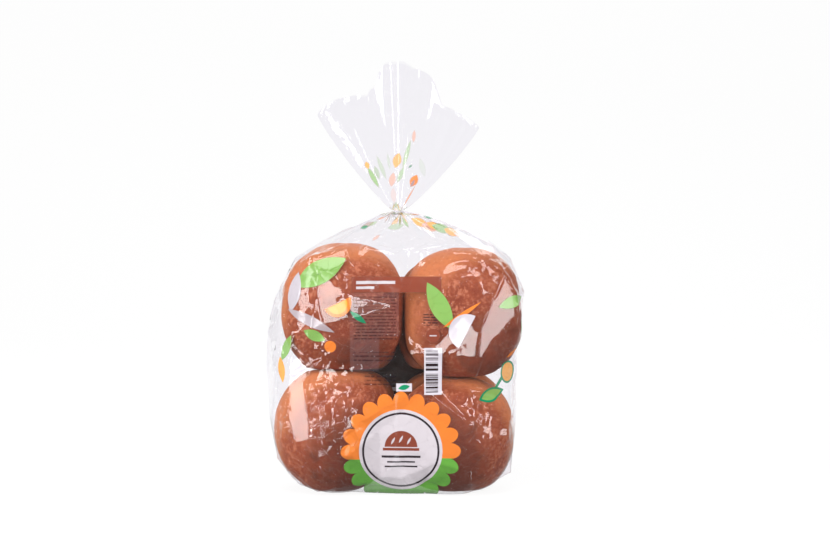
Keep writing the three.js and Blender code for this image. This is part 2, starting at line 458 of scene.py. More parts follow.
# Flat panes of film that catch a light: which way each faces, in degrees to the right and up, the
# air behind it, how crumpled it is, less than 0 being smoother than plain film, and its corners.
panes = [
    (24, 7, 0.6, -0.08,
     [(91, 182), (100, 166), (101, 149), (81, 130), (72, 113), (68, 116), (71, 138), (82, 164)]),
    (-12, 7, 0.6, 0, [(-62, 163), (-38, 167), (-34, 147), (-57, 142)]),
    (-29, 8, 2.0, 0.06, [(-84, 98), (-73, 96), (-69, 72), (-66, 49), (-80, 45), (-87, 66)]),
    (-6, 29, 1.8, 0, [(-66, 196), (-40, 203), (-36, 193), (-51, 185), (-61, 187)]),
    (-2, 27, 1.5, 0, [(-30, 200), (-22, 206), (-20, 203), (-28, 197)]),
    (-14, 8, 1.4, 0.3, [(-62, 77), (-57, 78), (-55, 53), (-60, 51)]),
    (-13, 8, 1.4, 0.3, [(-52, 77), (-46, 79), (-43, 61), (-49, 60)]),
    (-13, 8, 1.0, 0.2, [(-41, 69), (-34, 70), (-33, 59), (-40, 57)]),
    (-13, 7, 1.2, 0.3, [(-54, 45), (-45, 47), (-44, 39), (-53, 37)]),
    (-13, 7, 1.0, 0.3, [(-42, 47), (-36, 45), (-36, 37), (-42, 38)]),
    (-14, 9, 1.4, 0.4, [(-64, 94), (-56, 95), (-53, 86), (-62, 84)]),
]
anchorLines = [
    ("crownLeft", "crownRight", "crownEnd"), ("leftWaist", "tip"), ("hangTop", "hangEnd"),
    ("seamTop", "seamEnd"), ("streakLow", "streakLowEnd"), ("edgeTop", "edgeEnd"),
    ("lowLeft", "lowRight", "lowEnd", "lowLeft"), ("earHigh", "earMiddle", "earTip"),
]
# Places where the film lies tight on a roll: x, z and radius, the same on the back.
tightSpots = [(50, 158, 34), (52, 52, 32), (-24, 160, 26), (-52, 105, 12)]
# Places where the film stands off and crumples: x, z, half sizes, the stand-off and how strongly.
crumpledSpots = [
    (-48, 64, 19, 34, 2.4, 1.6), (-84, 58, 8, 34, 2.0, 0.8), (-62, 18, 22, 12, 1.5, 1.2),
    (-66, 124, 14, 9, 1.6, 1.5), (92, 150, 12, 30, 1.6, 0.8), (80, 188, 16, 12, 1.5, 0.8),
    (66, 70, 8, 24, 1.6, 0.8), (92, 62, 7, 26, 2.0, 0.9), (62, 16, 20, 10, 1.2, 0.8),
    (-50, 192, 22, 12, 1.4, 0.8), (-92, 112, 9, 14, 1.5, 1.2), (96, 104, 8, 12, 1.5, 0.9),
]
crumple = {
    "seed": 21,
    "wide": 25,  # from one random anchor to the next
    "standOff": 3.2,  # most that one stands off
    "keepOff": 12,  # least distance from a random anchor to a placed one
    "crossing": 2,  # stand-off where two lines between anchors cross
    "overlap": 70,  # how far the unrolled skin is repeated past both of its ends
    "margin": 35,  # facets whose middle lies further out than this are long slivers, left out
    "small": [(12, 0.7, 8), (6, 0.3, 9)],  # spacing, height and seed of the small facets
}
# Fine pleats under the neck and folds up the fan: how many go round it, and how high they stand.
gathers = {"seed": 11, "pleats": 46, "pleatHeight": 1.3, "folds": 38, "foldHeight": 0.16}


def facets(spacing, seed):  # heights of small flat facets over the unrolled skin
    draw = random.Random(seed)
    columns, rows = round(girth / spacing), round(climbLength / spacing)
    cell = [
        [(draw.random(), draw.random(), draw.uniform(-1, 1)) for _ in range(rows + 4)]
        for _ in range(columns)
    ]
    spots = []
    for i in range(-2, columns + 2):
        for j in range(rows + 4):
            jitterX, jitterY, height = cell[i % columns][j]
            spots.append(((i + jitterX) * girth / columns, (j - 2 + jitterY) * spacing, height))
    flat = delaunay_2d_cdt([Vector(s[:2]) for s in spots], [], [], 0, 1e-6)
    corners = [Vector((v.x, v.y, spots[source[0]][2])) for v, source in zip(flat[0], flat[3])]
    sheet = BVHTree.FromPolygons(corners, flat[2])
    down = Vector((0, 0, -1))
    heights = [
        (sheet.ray_cast(Vector((u, v, 9)), down)[0] or Vector()).z
        for u, v in zip(girthGrid.ravel().tolist(), climbPlaceGrid.ravel().tolist())
    ]
    return np.array(heights).reshape(girthGrid.shape)


def tightness(x, z):
    tight = 0 * x
    for spotX, spotZ, radius in tightSpots:
        tight = np.maximum(tight, np.exp(-((((x - spotX) ** 2 + (z - spotZ) ** 2) / radius**2) ** 2)))
    return tight


def within(corners, x, z):  # which points lie inside an outline
    inside = np.zeros(np.shape(x), bool)
    for (ax, az), (bx, bz) in zip(corners, corners[1:] + corners[:1]):
        if az != bz:
            inside ^= ((az > z) != (bz > z)) & (x < ax + (z - az) * (bx - ax) / (bz - az))
    return inside


def onSkin(point):  # a place in space, as one on the unrolled skin and a reach
    x, y, z = point
    across = x - film["neckX"] * float(smooth(z, leaning["from"], leaning["to"]))
    up = z - film["centreHeight"]
    turn = (math.atan2(y, across) + math.pi / 2) % (2 * math.pi) - math.pi / 2
    u = float(np.interp(turn, around, girthPlace))
    v = float(np.interp(math.atan2(up, math.hypot(across, y)), climb, climbPlace))
    return u, v, math.hypot(across, y, up)


def anchorSpot(x, z, off):
    away = np.where(np.sin(aroundGrid) < 0, (base[..., 0] - x) ** 2 + (base[..., 2] - z) ** 2, 1e9)
    point = base[np.unravel_index(np.argmin(away), away.shape)]
    u, v, distance = onSkin(point)
    return u, v, distance + off


def paneSpots(turn, tilt, off, corners):  # corners on the plane that just clears the smooth film
    turn, tilt = math.radians(turn), math.radians(tilt)
    facing = np.array([math.sin(turn) * math.cos(tilt), -math.cos(turn) * math.cos(tilt), math.sin(tilt)])
    covered = within(corners, base[..., 0], base[..., 2]) & (np.sin(aroundGrid) < 0)
    level = (base[covered] @ facing).max() + off
    return [onSkin((x, (level - x * facing[0] - z * facing[2]) / facing[1], z)) for x, z in corners]


def skinRay(u, v):  # the ray through a place on the unrolled skin, and the smooth film's reach there
    turns = np.append(around, around[0] + 2 * math.pi)
    turn = float(np.interp(u % girth, np.append(girthPlace, girth), turns))
    lift = float(np.interp(v, climbPlace, climb))
    return turn, lift, float(reachOfFilm(np.array(turn), np.array(lift)))


def anchorReach():  # reach of the faceted skin along each ray, and how crumpled its panes are
    draw = random.Random(crumple["seed"])
    spots = [anchorSpot(*place) for place in anchors.values()]
    names = list(anchors)
    lines = [(names.index(a), names.index(b)) for line in anchorLines for a, b in zip(line, line[1:])]
    looseness = np.full(aroundGrid.shape, np.nan)
    outlines = []
    for turn, tilt, off, loose, corners in panes:
        first, count = len(spots), len(corners)
        spots += paneSpots(turn, tilt, off, corners)
        lines += [(first + i, first + (i + 1) % count) for i in range(count)]
        outlines.append([spot[:2] for spot in spots[first:]])
        looseness[within(outlines[-1], girthGrid, climbPlaceGrid)] = loose
    fixed = list(spots)
    columns, rows = round(girth / crumple["wide"]), round(climbLength / crumple["wide"])
    for column in range(columns):
        for row in range(-1, rows + 2):
            u = (column + draw.random()) * girth / columns
            v = float(np.clip((row + draw.random()) * climbLength / rows, 0.5, climbLength - 0.5))
            off = draw.uniform(0, crumple["standOff"])
            if any(math.dist((u, v), spot[:2]) < crumple["keepOff"] for spot in fixed):
                continue
            if any(within(outline, u, v) for outline in outlines):
                continue
            turn, lift, plain = skinRay(u, v)
            x, _, z = filmPoints(np.array(turn), np.array(lift), np.array(plain))
            off *= 1 - 0.9 * float(tightness(-x if math.sin(turn) > 0 else x, z))
            spots.append((u, v, plain + off))
    after = [(u + girth, v, far) for u, v, far in spots if u < crumple["overlap"]]
    before = [(u - girth, v, far) for u, v, far in spots if u > girth - crumple["overlap"]]
    spots += after + before
    flat = delaunay_2d_cdt([Vector(spot[:2]) for spot in spots], lines, [], 0, 1e-6)
    places, _, faces, sources = flat[:4]
    corners = []
    for place, source in zip(places, sources):
        turn, lift, plain = skinRay(place.x, place.y)
        far = spots[source[0]][2] if source else plain + crumple["crossing"]
        corners.append((np.stack(directionOf(turn, lift)) * far).tolist())
    low, high = -crumple["margin"], girth + crumple["margin"]
    kept = [face for face in faces if low < sum(places[i].x for i in face) / 3 < high]
    skinFacets = BVHTree.FromPolygons(corners, kept)
    middle = Vector((0, 0, 0))
    directions = np.stack(directionOf(aroundGrid, climbGrid), -1).reshape(-1, 3)
    found = [skinFacets.ray_cast(middle, Vector(d))[3] or 0.0 for d in directions]
    return np.array(found).reshape(aroundGrid.shape), looseness


def evenColumns(count):  # columns stand closer on the front
    fine = np.linspace(-math.pi / 2, 1.5 * math.pi, 4097)
    ring = filmPoints(fine, np.zeros_like(fine), reachOfFilm(fine, np.zeros_like(fine)))
    step = np.linalg.norm(np.diff(ring, axis=0), axis=1)
    walked = np.concatenate([[0], np.cumsum(step)])
    crowded = np.concatenate([[0], np.cumsum(step * (1.05 - 0.35 * np.sin((fine[1:] + fine[:-1]) / 2)))])
    around = np.interp(np.arange(count) / count * crowded[-1], crowded, fine)
    return around, np.interp(around, fine, walked), walked[-1]


def evenRows(count):
    top = math.atan2(film["neckHeight"] - film["centreHeight"], film["neckRadius"])
    fine = np.linspace(-math.pi / 2, top, 2049)
    side = np.full_like(fine, -0.8)
    line = filmPoints(side, fine, reachOfFilm(side, fine))
    walked = np.concatenate([[0], np.cumsum(np.linalg.norm(np.diff(line, axis=0), axis=1))])
    return np.interp(np.arange(1, count) / count * walked[-1], walked, fine), walked[-1]


def gathered(draw, around, count):  # random heights round the neck, joined by straight slopes
    turns = np.sort([draw.uniform(0, 2 * math.pi) for _ in range(count)])
    heights = [draw.uniform(-1, 1) for _ in range(count)]
    return np.interp(around % (2 * math.pi), turns, heights, period=2 * math.pi)


around, girthPlace, girth = evenColumns(film["columns"])
climb, climbLength = evenRows(film["bodyRows"])
climbPlace = np.arange(1, film["bodyRows"]) / film["bodyRows"] * climbLength
aroundGrid, climbGrid = np.meshgrid(around, climb)
girthGrid, climbPlaceGrid = np.meshgrid(girthPlace, climbPlace)
reach = reachOfFilm(aroundGrid, climbGrid)
base = filmPoints(aroundGrid, climbGrid, reach)
faceted, paneLooseness = anchorReach()
flatPanes = ~np.isnan(paneLooseness)
level = base[..., 2]
belowNeck = 231 - level
share = np.where(faceted > 0, smooth(level, 1, 9) * smooth(232 - level, 4, 26), 0)
standOffs = (faceted - reach)[share > 0.9]
print("film facets:", round(float(standOffs.min()), 1), "to", round(float(standOffs.max()), 1), "mm off")
reach = reach + share * (faceted - reach)
mirroredX = np.where(np.sin(aroundGrid) > 0, -base[..., 0], base[..., 0])
crumpled = 0 * mirroredX
for spotX, spotZ, halfX, halfZ, standOff, strength in crumpledSpots:
    near = np.exp(-((((mirroredX - spotX) / halfX) ** 2 + ((level - spotZ) / halfZ) ** 2) ** 1.5))
    reach = reach + standOff * np.where(flatPanes, 0, near)
    crumpled = np.maximum(crumpled, strength * near)
slack = (1 - 0.85 * tightness(mirroredX, level)) * (0.5 + 0.3 * smooth(level, 185, 215)) + crumpled
slack = np.where(flatPanes, 0.06 + 0.5 * np.maximum(paneLooseness, 0), slack)
crumpled = np.where(flatPanes, paneLooseness, crumpled)
relief = sum(height * slack * facets(spacing, seed) for spacing, height, seed in crumple["small"])
relief *= smooth(level, 0, 6) * smooth(belowNeck, 0, 12)
draw = random.Random(gathers["seed"])
pleats = gathered(draw, aroundGrid, gathers["pleats"])
relief += gathers["pleatHeight"] * (smooth(level, 196, 218) * smooth(belowNeck, 0, 8)) * pleats
body = filmPoints(aroundGrid, climbGrid, reach + relief) + origin
print("film relief:", round(float(relief.min()), 2), "to", round(float(relief.max()), 2), "mm")


def clearOf(pieces, points, around, climb, clearance):  # the film, pushed out of the rolls
    corners, faces = [], []
    for piece in pieces:
        shift = len(corners)
        corners += [v.co / mm for v in piece.data.vertices]
        faces += [[i + shift for i in p.vertices] for p in piece.data.polygons]
    crusts = BVHTree.FromPolygons(corners, faces)
    directions = np.stack(directionOf(around, climb), -1)
    moved = points.copy()
    reachOut = 60.0  # each ray comes in from this far outside the film, in millimetres
    for row in range(points.shape[0]):
        for column in range(points.shape[1]):
            out = Vector(directions[row, column])
            spot = Vector(points[row, column])
            hit = crusts.ray_cast(spot + out * reachOut, -out, reachOut + clearance)[3]
            if hit is not None:
                moved[row, column] = spot + out * (reachOut + clearance - hit)
    return moved


body = clearOf(rollPieces, body, aroundGrid, climbGrid, film["clearance"])
body[..., 2] = np.maximum(body[..., 2], 0)
print("film cleared of the crusts")


# The rim's lip, seen from the front: x, then the rise above the rest of the rim.
lipOutline = [
    (-22, 0), (-20, 5), (-17, 7), (-14.5, 9), (-13, 20), (-8, 27.5), (-2, 29), (8, 29), (13, 27),
    (16, 25), (28, 23.5), (33, 20), (37, 11), (40.5, 0),
]
# Folds that run up the fan from the neck: where across it, their width and their depth.
fanFolds = [
    (-0.9, 0.09, 0.8), (-0.5, 0.12, 0.4), (-0.1, 0.05, 0.9), (0.23, 0.04, 0.5), (0.34, 0.04, 0.5),
    (0.62, 0.08, 0.3), (0.82, 0.05, 0.9), (0.92, 0.04, 1.0),
]


def rimHeight(across, depth):
    x = film["neckX"] + across * fan["halfWidth"]
    rise = np.interp(x, [spot[0] for spot in lipOutline], [spot[1] for spot in lipOutline])
    rise = np.where(depth > 0, rise, 0.94 * rise - 1.2 * (rise > 0))
    fall = np.where(across < 0, 14 * across**6, 25 * across**2)
    ripple = 0.5 * np.sin(9 * across + 1.3 * depth) + 0.3 * np.sin(31 * across)
    return fan["rimHeight"] - fall + rise + ripple


def fanPoints(around, share):
    across, depth = np.cos(around), np.sin(around)
    start = film["neckHeight"] + film["neckLength"]
    halfWidth = (
        film["neckRadius"]
        + (fan["halfWidth"] - film["neckRadius"]) * share
        + fan["bulge"] * np.sin(np.pi * np.clip(share, 0, 1)) ** 0.4
    )
    halfDepth = film["neckRadius"] + (fan["halfDepth"] - film["neckRadius"]) * share
    wave = 1.0 * np.sin(8 * across + 0.6) + 0.5 * np.sin(19 * across + 1.2 * share)
    fold = sum(deep * np.exp(-(((across - at) / wide) ** 2)) for at, wide, deep in fanFolds)
    y = halfDepth * depth + 4.5 * depth * share**2 + (wave - fold) * share**0.8
    height = start + (rimHeight(across, depth) - start) * share
    return np.stack([film["neckX"] + halfWidth * across, y, height], -1)


def neckRing(height):
    x, y = film["neckRadius"] * np.cos(around), film["neckRadius"] * np.sin(around)
    return np.stack([film["neckX"] + x, y, np.full_like(around, height)], -1) + origin


shares = (np.arange(1, film["fanRows"] + 1) / film["fanRows"]) ** 1.25  # rows crowd to the neck
fanAround, fanShare = np.meshgrid(around, shares)
fanBody = fanPoints(fanAround, fanShare)
folds = gathered(draw, fanAround, gathers["folds"])
fanBody[..., 1] += gathers["foldHeight"] * folds * fanShare * (1 - np.abs(np.cos(fanAround)) ** 6)
fanBody += origin
neckRings = np.array([neckRing(film["neckHeight"] + rise) for rise in (0, film["neckLength"])])
skin = np.concatenate([body, neckRings, fanBody])
printedSkin = np.concatenate([0.9 * body + 0.1 * (base + origin), neckRings, fanBody])


# print: drawn flat on the film, in millimetres across from its front's middle and up

# two of these inks stand in for light: the whitish wash is partly painted sheen, and the dark umber is
# painted shade
printed = {
    "greenLight": ink(129, 174, 88), "greenDark": ink(10, 136, 92), "orange": ink(232, 126, 46),
    "yellow": ink(240, 164, 60), "white": ink(204, 198, 207), "brown": ink(132, 62, 44),
    "dark": ink(40, 32, 40), "pale": ink(203, 195, 201), "tintAndSheen": ink(176, 160, 170),
    "gapShade": ink(84, 40, 28), "green": ink(98, 164, 62), "olive": ink(134, 134, 52),
}


class Artwork:
    def __init__(self, graph, across, up):
        self.graph = graph
        self.across = across
        self.up = up
        self.colour = (0.3, 0.2, 0.14, 1.0)
        self.cover = 0.004

    def spot(self, x, z, halfWidth, halfHeight, turn=0.0):  # place in a motif's own axes and size
        right, up = self.across - x, self.up - z
        if turn == 0:
            return right / halfWidth, up / halfHeight
        cosine, sine = math.cos(math.radians(turn)), math.sin(math.radians(turn))
        along = right * (cosine / halfWidth) + up * (sine / halfWidth)
        return along, up * (cosine / halfHeight) - right * (sine / halfHeight)

    def away(self, x, z, radius):
        right, up = self.spot(x, z, radius, radius)
        return self.graph.length(right, up)

    def stamp(self, inside, size, colour, cover=0.9, soft=0.3):
        self.put(self.graph.maths("MULTIPLY", inside, size / soft, clamp=True), colour, cover)

    def put(self, mask, colour, cover):  # in one of the printed colours, or one that varies
        self.colour = self.graph.mixColour(mask, self.colour, printed.get(colour, colour))
        self.cover = self.graph.mixNumber(mask, self.cover, cover)

    def disc(self, x, z, radius, colour, cover=0.9):
        self.stamp(1.0 - self.away(x, z, radius), radius, colour, cover)

    def ring(self, x, z, radius, width, colour):
        self.stamp(width / 2 / radius - abs(self.away(x, z, radius) - 1.0), radius, colour)

    def leaf(self, x, z, length, width, turn, colour, cover=0.9, soft=0.3):
        along, across = self.spot(x, z, length / 2, width / 2, turn)
        self.stamp(1.0 - along * along - abs(across), width / 2, colour, cover, soft)

    def halfDisc(self, x, z, radius, turn, colour, cover=0.9):
        along, up = self.spot(x, z, radius, radius, turn)
        away = self.graph.length(along, up)
        self.stamp(self.graph.maths("MINIMUM", 1.0 - away, up), radius, colour, cover)

    def box(self, x, z, halfWidth, halfHeight, colour, cover=0.9):
        self.put(self.boxMask(x, z, halfWidth, halfHeight), colour, cover)

    def boxMask(self, x, z, halfWidth, halfHeight):
        right, up = self.spot(x, z, 1.0, 1.0)
        inside = self.graph.maths("MINIMUM", halfWidth - abs(right), halfHeight - abs(up))
        return self.graph.maths("MULTIPLY", inside, 1 / 0.3, clamp=True)


def petals(art, x, z, radius, count, depth):
    across, up = art.spot(x, z, radius, radius)
    angle = art.graph.maths("ARCTAN2", up, across)
    away = art.graph.length(across, up)
    edge = abs(art.graph.maths("COSINE", angle * (count / 2))) ** 0.55
    inside = (1.0 - depth) + edge * depth - away
    green = art.graph.maths("MULTIPLY", (0.0 - up) - 0.12, radius / 0.3, clamp=True)
    colour = art.graph.mixColour(green, printed["orange"], printed["green"])
    art.stamp(inside, radius, colour, 0.88)


def badge(art):
    x, z = 4.5, 39.0
    petals(art, x, z, 49, 20, 0.17)
    art.disc(x, z, 34, "pale", 0.93)
    art.ring(x, z, 30.6, 2, "dark")
    art.halfDisc(x, z + 3, 13.5, 0, "brown")
    art.box(x, z + 1.2, 15, 1.3, "brown")
    for across in (-6.5, 0, 6.5):
        art.leaf(x + across, z + 9.6 - abs(across) * 0.22, 7.4, 2, 62, "pale", 0.93)
    art.box(x, z - 5, 16, 1.1, "dark")
    art.box(x, z - 9.4, 11.5, 0.8, "dark")
    art.box(x, z - 13.2, 13.5, 0.8, "dark")


def words(art, x, z, halfWidth, halfHeight, pitch, colour, cover):  # rows of short plain strokes
    graph = art.graph
    stroke = graph.maths("LESS_THAN", graph.maths("FRACT", art.up / pitch), 0.42)
    row = graph.maths("FLOOR", art.up / pitch)
    cell = graph.join(graph.maths("FLOOR", art.across / 0.9), row, 0.0)
    filled = graph.above(graph.node("ShaderNodeTexWhiteNoise", inputs={"Vector": cell}), 0.2)
    art.put(art.boxMask(x, z, halfWidth, halfHeight) * stroke * filled, colour, cover)


def panel(art):
    # a faint translucent wash over the panel: printed tint, and painted sheen of the tight film there
    art.box(-17, 150, 20, 18, "tintAndSheen", 0.07)
    art.box(-25, 118, 12, 14, "tintAndSheen", 0.07)
    words(art, -16.5, 147, 17.5, 18, 2.6, "dark", 0.5)
    words(art, -16.5, 116, 17.5, 4, 3.4, "dark", 0.5)
    words(art, -12, 97, 13, 6, 3.2, "dark", 0.5)
    art.box(1, 174.5, 36.5, 6.6, "brown", 0.93)
    art.box(-16, 176.2, 16, 1.4, "pale", 0.9)
    art.box(-24.5, 172, 7.5, 1.2, "pale", 0.9)
    words(art, 28.5, 146, 6, 5, 2.2, "dark", 0.8)
    art.disc(30.5, 133, 5.8, "brown", 0.93)
    art.box(30.5, 133, 3, 0.6, "pale", 0.93)
    graph = art.graph
    art.box(30.5, 104, 7.4, 19.2, "white", 0.95)
    line = graph.maths("FLOOR", art.up / 0.4)
    bar = graph.node("ShaderNodeTexWhiteNoise", {"noise_dimensions": "1D"}, {"W": line})
    dark = graph.above(bar, 0.48)
    art.put(art.boxMask(29.6, 104.0, 5.2, 17.6) * dark, "dark", 0.95)
    art.box(7, 91, 6.6, 3.4, "white", 0.93)
    art.leaf(7, 91, 10, 4.4, 12, "greenDark", 0.93)


def scattered(art):
    art.leaf(-62, 184, 50, 19, 28, "greenLight")
    art.leaf(-84, 168, 34, 13, 78, "white", 0.82)
    art.leaf(-70, 145, 46, 9, -24, "white", 0.6)
    art.halfDisc(-47, 160, 12, 205, "orange")
    art.halfDisc(-47, 159, 8.5, 205, "yellow")
    art.leaf(-30, 148, 17, 5, -38, "greenDark")
    art.leaf(-66, 133, 20, 9, -24, "greenLight")
    art.disc(-53, 124, 5, "orange")
    art.leaf(-91, 122, 24, 9, 64, "greenLight")
    art.leaf(-96, 104, 22, 8, 100, "yellow")
    art.leaf(36, 157, 44, 16, 118, "greenLight")
    art.leaf(54, 150, 40, 4, 34, "orange")
    art.halfDisc(58, 136, 15, 62, "white", 0.86)
    art.leaf(96, 160, 26, 10, 18, "greenLight")
    art.leaf(112, 140, 22, 8, 80, "greenLight")
    art.leaf(86, 96, 40, 3, 62, "greenDark")
    art.disc(95, 102, 9.5, "greenDark")
    art.disc(95, 102, 7.8, "yellow")
    art.leaf(79, 84, 24, 12, 20, "greenDark")
    art.leaf(79, 84, 19, 8.5, 20, "greenLight")
    art.leaf(98, 118, 16, 4, 30, "orange")


def neckStreaks(art):  # artwork gathered into narrow streaks that run out from the neck
    graph = art.graph
    right, down = art.across - 4.0, 232.5 - art.up
    away = graph.length(right, down)
    ray = graph.maths("FLOOR", graph.maths("ARCTAN2", right, down) / 0.09)
    draw = graph.node("ShaderNodeTexWhiteNoise", {"noise_dimensions": "1D"}, {"W": ray})
    other = graph.maths("FRACT", draw * 17.0)
    reach = 2.0 + draw * draw * 11.0
    mask = (1.0 - graph.rise(away / reach, 0.6, 1.0)) * graph.above(other, 0.2)
    colour = printed["olive"]
    for limit, name in ((0.5, "greenLight"), (0.7, "yellow"), (0.88, "brown")):
        colour = graph.mixColour(graph.above(other, limit), colour, printed[name])
    art.put(mask, colour, 0.62)


def nearNeckPrint(art):
    for x, z, length, width, turn, colour, cover in [
        (-1, 224, 13, 5, 58, "yellow", 0.5), (8, 224.5, 11, 4, 122, "greenLight", 0.6),
        (0, 221, 15, 6, 12, "greenLight", 0.35), (3.5, 226, 10, 2.6, 88, "olive", 0.9),
        (14, 231, 20, 1.6, -3, "orange", 0.8), (27, 228.5, 10, 3, -16, "greenDark", 0.85),
        (20, 224.5, 17, 7.5, -24, "yellow", 0.8), (29, 221, 17, 9, -12, "orange", 0.45),
        (31, 222, 13, 6, -20, "yellow", 0.8), (38, 219.5, 19, 8, -18, "greenLight", 0.6),
        (46, 216.5, 14, 7, -24, "yellow", 0.7), (51, 214, 8, 3.4, -30, "orange", 0.35),
        (-12, 228, 10, 2, 20, "orange", 0.8), (-19, 223.5, 10, 3.4, 26, "greenLight", 0.4),
        (-26, 220.5, 8, 3.8, 16, "greenDark", 0.75), (-16, 212, 9, 3.6, 34, "orange", 0.35),
        (-19, 262, 22, 5, 119, "greenLight", 0.7), (-24, 272, 7, 5, 110, "yellow", 0.8),
        (-12, 270, 24, 4.6, 112, "greenLight", 0.28), (-6, 275, 16, 3.6, 98, "greenLight", 0.2),
        (1, 276, 14, 8, 76, "yellow", 0.75), (9, 281, 28, 4.4, 74, "greenLight", 0.5),
        (15, 296, 12, 4, 84, "orange", 0.4), (-3, 260, 13, 6.5, 80, "orange", 0.4),
        (4, 264, 16, 5, 66, "greenLight", 0.45), (12, 271, 5, 2.6, 40, "greenDark", 0.75),
        (15, 259, 12, 7.5, 62, "orange", 0.9), (14, 257, 8, 3.4, 62, "brown", 0.6),
        (11, 246, 26, 2, 60, "orange", 0.85), (22, 270, 18, 6, 104, "greenLight", 0.12),
        (-2, 247, 14, 6, 95, "orange", 0.14),
    ]:
        art.leaf(x, z, length, width, turn, colour, cover, 1)


def backPrint(art):
    # painted shade: a dark umber panel on the back film behind the gap between the front rolls, so the gap
    # reads dark; the pale bars over it are print
    art.box(0, 108, 50, 34, "gapShade", 1)
    for row in range(4):
        art.box(-8 + row % 2 * 5, 136 - row * 3.4, 30 - row % 2 * 6, 0.7, "pale", 0.9)
    art.box(0, 79, 36, 1.6, "pale", 0.9)
    art.leaf(-70, 150, 44, 17, 30, "greenLight")
    art.halfDisc(-72, 52, 16, 20, "orange")
    art.leaf(72, 146, 40, 15, -40, "greenLight")
    art.halfDisc(74, 46, 15, 160, "white", 0.86)
    art.leaf(-66, 30, 36, 12, 0, "greenDark")
    art.halfDisc(6, 40, 18, 190, "yellow")
    for x, z, turn, colour in [
        (-30, 219, 16, "greenLight"), (24, 222, -22, "yellow"), (16, 266, 70, "greenLight"),
    ]:
        art.leaf(x, z, 13, 5, turn, colour, 0.4, 1)


clear = {
    "passes": (0.975, 0.968, 0.99, 1.0),  # what one sheet lets through
    "roughness": 0.03,
    "inkRoughness": 0.22,
    "mirror": 0.04,  # share of light that it mirrors, seen straight on
    "tilt": 0.46,  # slopes of the small facets where the film crumples
    "calm": 0.12,  # share of that where it doesn't
    "fan": -0.09,  # that share changes by this much in the fan
    "ripple": 0.0004,  # height of soft ripples, in metres
}


def crinkle(graph, spot, scale):  # height of small flat facets, each tilted its own way
    cells = graph.node("ShaderNodeTexVoronoi", inputs={"Vector": spot, "Scale": scale}).socket.node
    x, y, z = graph.parts(spot)
    middleX, middleY, middleZ = graph.parts(Wire(graph, cells.outputs["Position"]))
    colour = Wire(graph, cells.outputs["Color"])
    split = graph.node("ShaderNodeSeparateColor", inputs={0: colour}).socket.node
    tiltX, tiltY, tiltZ = [Wire(graph, output) - 0.5 for output in split.outputs]
    return (x - middleX) * tiltX + (y - middleY) * tiltY + (z - middleZ) * tiltZ


def filmMaterial():
    made, graph = newMaterial("clearFilm")
    across, up, side = graph.parts(graph.attribute("printPlace"))
    front = Artwork(graph, across, up)
    panel(front)
    scattered(front)
    nearNeckPrint(front)
    badge(front)
    back = Artwork(graph, across, up)
    backPrint(back)
    facesBack = graph.above(side, 0.0)
    art = Artwork(graph, across, up)
    art.colour = graph.mixColour(facesBack, front.colour, back.colour)
    art.cover = graph.mixNumber(facesBack, front.cover, back.cover)
    neckStreaks(art)
    inSheet = graph.above(abs(side), 0.9)

    spot = graph.node("ShaderNodeTexCoord", output="Object")
    loose = graph.attribute("crumple", "Fac")
    tilts = clear["tilt"] * (loose + clear["calm"])
    height = (crinkle(graph, spot, 70.0) + crinkle(graph, spot, 180.0) * 0.8) * tilts
    height = height + graph.noise(spot, 42.0, 2.0, 0.5, 0.4) * clear["ripple"]
    bump = graph.bump(height, 1.0, 1.0)
    through = graph.node("ShaderNodeBsdfTransparent", inputs={"Color": clear["passes"]})
    inputs = {"Base Color": (1, 1, 1, 1), "Metallic": 1.0, "Roughness": clear["roughness"], "Normal": bump}
    mirror = graph.node("ShaderNodeBsdfPrincipled", inputs=inputs)
    inputs = {"Base Color": art.colour, "Roughness": clear["inkRoughness"], "Normal": bump}
    inked = graph.node("ShaderNodeBsdfPrincipled", inputs=inputs)
    facing = graph.node("ShaderNodeLayerWeight", inputs={"Blend": 0.5, "Normal": bump}, output="Facing")
    glance = clear["mirror"] + (1 - clear["mirror"]) * facing ** 5.0
    sheet = graph.mixShader(glance, through, mirror)
    closeMaterial(graph, graph.mixShader(art.cover * inSheet, sheet, inked))
    return made


def printPlaces(points):  # where each point of the skin lies on the flat artwork
    x, z = points[..., 0] - bagMiddle.x, points[..., 2]
    equator = int(np.argmin(np.abs(climb)))
    isBack = np.sin(around) > 0
    fromMiddle = np.where(isBack, girthPlace - girth / 2, girthPlace)
    fromMiddle = (fromMiddle + girth / 2) % girth - girth / 2
    flatX = np.where(isBack, -1, 1) * base[equator, :, 0]
    surplus = (fromMiddle - flatX) * smooth(np.abs(flatX), 64, 96)
    across = np.where(isBack, -x, x) + surplus * (1 - smooth(z, 188, 214))
    return np.stack([across, z + 0 * across, np.where(isBack, 1.0, -1.0) + 0 * across], -1)


def makeFilm():
    rows, columns = skin.shape[:2]
    points = skin.reshape(-1, 3).tolist()
    bottom = len(points)
    points.append([float(origin[0]), float(origin[1]), 0.0])
    faces = []
    for column in range(columns):
        beside = (column + 1) % columns
        faces.append((bottom, beside, column))
        for row in range(rows - 1):
            low, high = row * columns, (row + 1) * columns
            faces.append((low + column, low + beside, high + beside, high + column))
    made = meshObject("bag_film", points, faces, filmMaterial())
    places = np.concatenate([printPlaces(printedSkin).reshape(-1, 3), [[0.0, -20.0, -1.0]]])
    attribute = made.data.attributes.new("printPlace", "FLOAT_VECTOR", "POINT")
    attribute.data.foreach_set("vector", places.astype(np.float32).ravel())
    strengths = np.full(len(points), clear["fan"])
    strengths[: body[..., 0].size] = crumpled.ravel()
    attribute = made.data.attributes.new("crumple", "FLOAT", "POINT")
    attribute.data.foreach_set("value", strengths.astype(np.float32))
    return made


bagFilm = makeFilm()
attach(bagFilm, "root")
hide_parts("bag")
print("film:", len(bagFilm.data.polygons), "faces")


# neck band: clear tape


